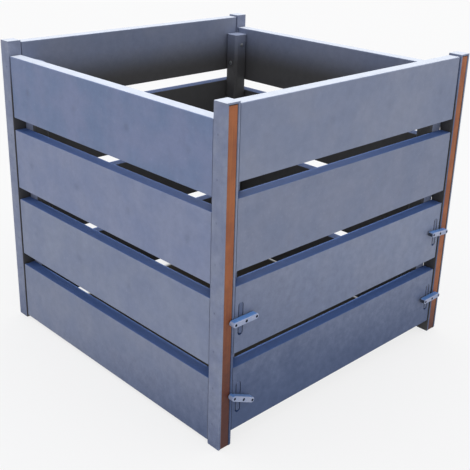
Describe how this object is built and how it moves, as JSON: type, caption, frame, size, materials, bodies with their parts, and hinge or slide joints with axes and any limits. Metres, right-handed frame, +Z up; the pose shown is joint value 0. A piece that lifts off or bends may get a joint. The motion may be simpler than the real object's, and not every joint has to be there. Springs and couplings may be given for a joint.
{
  "type": "compost bin",
  "caption": "Open-topped square compost bin of spaced plastic planks between corner posts, with lower front planks that come off once their turn-button latches stand upright.",
  "frame": {"origin": "bottom centre of the whole box, on the ground", "axes": "+Z up; the front wall, with the latches, faces -Y; +X to the right seen from the front"},
  "size_m": [1.05, 1.07, 0.98],
  "materials": {
    "plank_plastic": "matte blue-grey recycled plastic, faintly streaked",
    "strip_plastic": "matte brown recycled plastic, streaked along its length",
    "latch_plastic": "paler blue-grey plastic, smooth",
    "fixing_steel": "bright zinc-plated steel"
  },
  "bodies": {
    "bin": {"post_front_left": "plank_plastic", "post_front_right": "plank_plastic", "post_rear_left": "plank_plastic", "post_rear_right": "plank_plastic", "cap_front_left": "plank_plastic", "cap_front_right": "plank_plastic", "cap_rear_left": "plank_plastic", "cap_rear_right": "plank_plastic", "cover_strip_front_left": "strip_plastic", "cover_strip_front_right": "strip_plastic", "cover_strip_rear_left": "strip_plastic", "cover_strip_rear_right": "strip_plastic", "batten_front_left": "plank_plastic", "batten_front_right": "plank_plastic", "batten_rear_left": "plank_plastic", "batten_rear_right": "plank_plastic", "left_board_1": "plank_plastic", "left_board_2": "plank_plastic", "left_board_3": "plank_plastic", "left_board_4": "plank_plastic", "right_board_1": "plank_plastic", "right_board_2": "plank_plastic", "right_board_3": "plank_plastic", "right_board_4": "plank_plastic", "rear_board_1": "plank_plastic", "rear_board_2": "plank_plastic", "rear_board_3": "plank_plastic", "rear_board_4": "plank_plastic", "front_board_1": "plank_plastic", "front_board_2": "plank_plastic", "latch_key_upper_left": "latch_plastic", "latch_key_upper_right": "latch_plastic", "latch_key_lower_left": "latch_plastic", "latch_key_lower_right": "latch_plastic", "latch_spacers": "fixing_steel", "pivot_screws": "fixing_steel", "post_screws": "fixing_steel", "side_screws": "fixing_steel", "wall_screws": "fixing_steel"},
    "upper_hatch": {"access_board_upper": "plank_plastic"},
    "lower_hatch": {"access_board_lower": "plank_plastic"},
    "upper_left_turn_button": {"latch_bar_upper_left": "latch_plastic"},
    "upper_right_turn_button": {"latch_bar_upper_right": "latch_plastic"},
    "lower_left_turn_button": {"latch_bar_lower_left": "latch_plastic"},
    "lower_right_turn_button": {"latch_bar_lower_right": "latch_plastic"}
  },
  "joints": [
    {"name": "upper_left_turn", "type": "hinge", "parent": "bin", "child": "upper_left_turn_button", "pos_m": [-0.453, -0.526, 0.3907], "axis": [0, -1, 0], "continuous": true},
    {"name": "upper_right_turn", "type": "hinge", "parent": "bin", "child": "upper_right_turn_button", "pos_m": [0.453, -0.526, 0.3907], "axis": [0, -1, 0], "continuous": true},
    {"name": "lower_left_turn", "type": "hinge", "parent": "bin", "child": "lower_left_turn_button", "pos_m": [-0.453, -0.526, 0.1477], "axis": [0, -1, 0], "continuous": true},
    {"name": "lower_right_turn", "type": "hinge", "parent": "bin", "child": "lower_right_turn_button", "pos_m": [0.453, -0.526, 0.1477], "axis": [0, -1, 0], "continuous": true},
    {"name": "upper_hatch_pull", "type": "slide", "parent": "bin", "child": "upper_hatch", "axis": [0, -1, 0], "range_m": [0, 0.0045]},
    {"name": "lower_hatch_pull", "type": "slide", "parent": "bin", "child": "lower_hatch", "axis": [0, -1, 0], "range_m": [0, 0.0045]}
  ]
}
